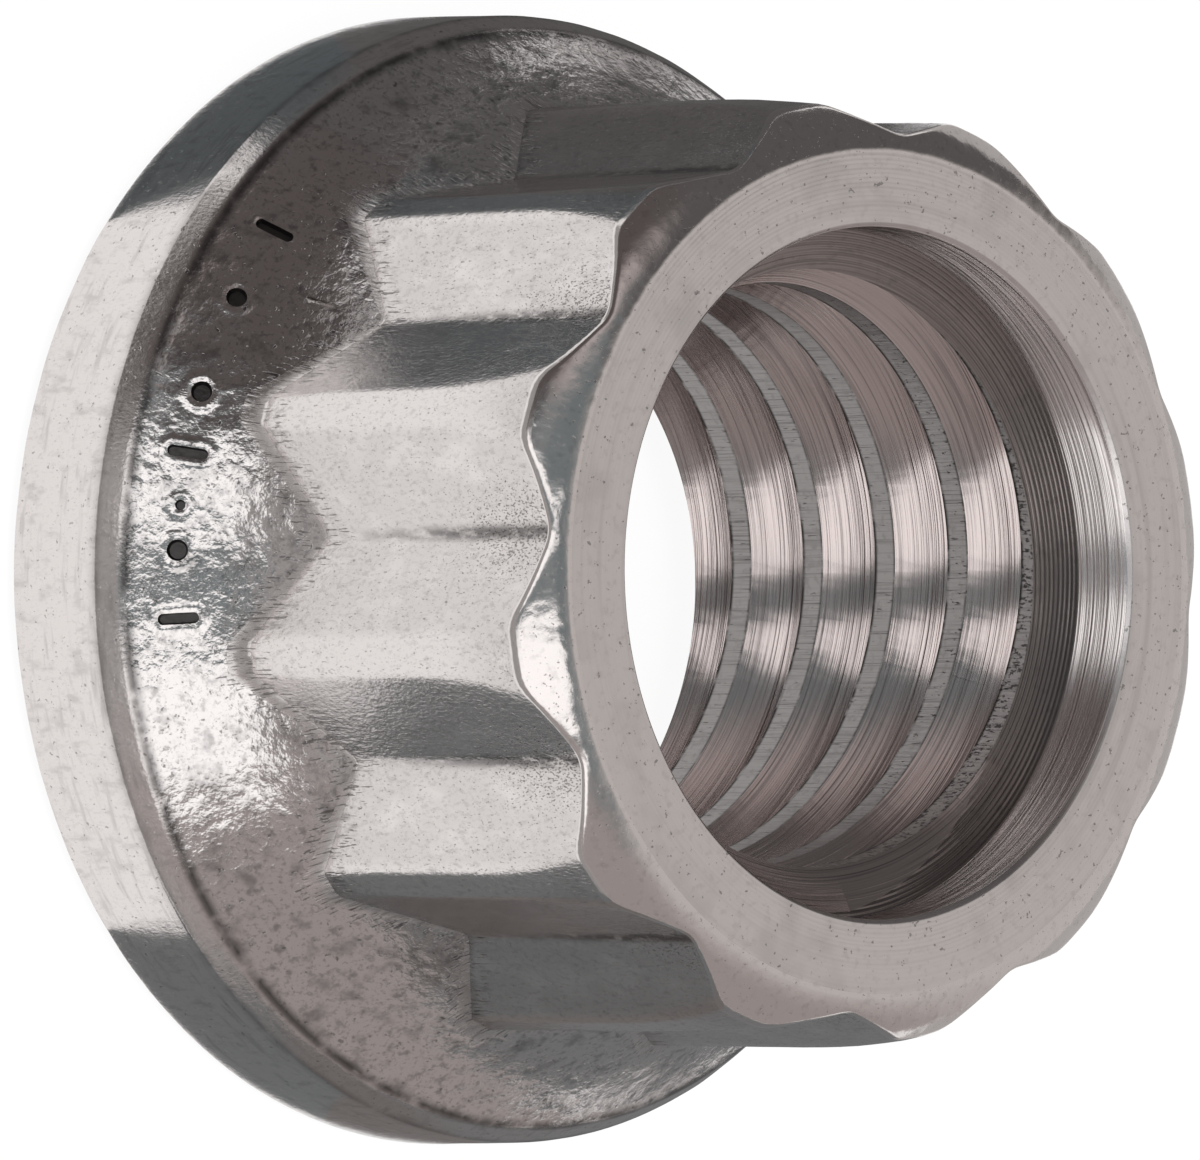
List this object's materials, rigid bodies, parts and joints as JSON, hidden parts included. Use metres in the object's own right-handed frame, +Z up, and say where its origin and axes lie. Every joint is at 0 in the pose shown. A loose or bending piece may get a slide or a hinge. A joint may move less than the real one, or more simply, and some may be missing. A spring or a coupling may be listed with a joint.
{
  "type": "twelve point flange nut",
  "caption": "Polished stainless twelve point flange nut with a plain counterbore at its mouth and a broad drafted flange under the double hexagon drive.",
  "frame": {"origin": "centre of the flange's bearing face, on the thread's axis", "axes": "+Z up the thread's axis, from the bearing face to the mouth; +X through one of the points of the drive"},
  "size_m": [0.0136, 0.0134, 0.0077],
  "materials": {
    "stainless": "tumbled and polished stainless steel, satin on the turned faces, with fine pits and forging wrinkles"
  },
  "bodies": {
    "root": {"nut": "stainless"}
  },
  "joints": []
}
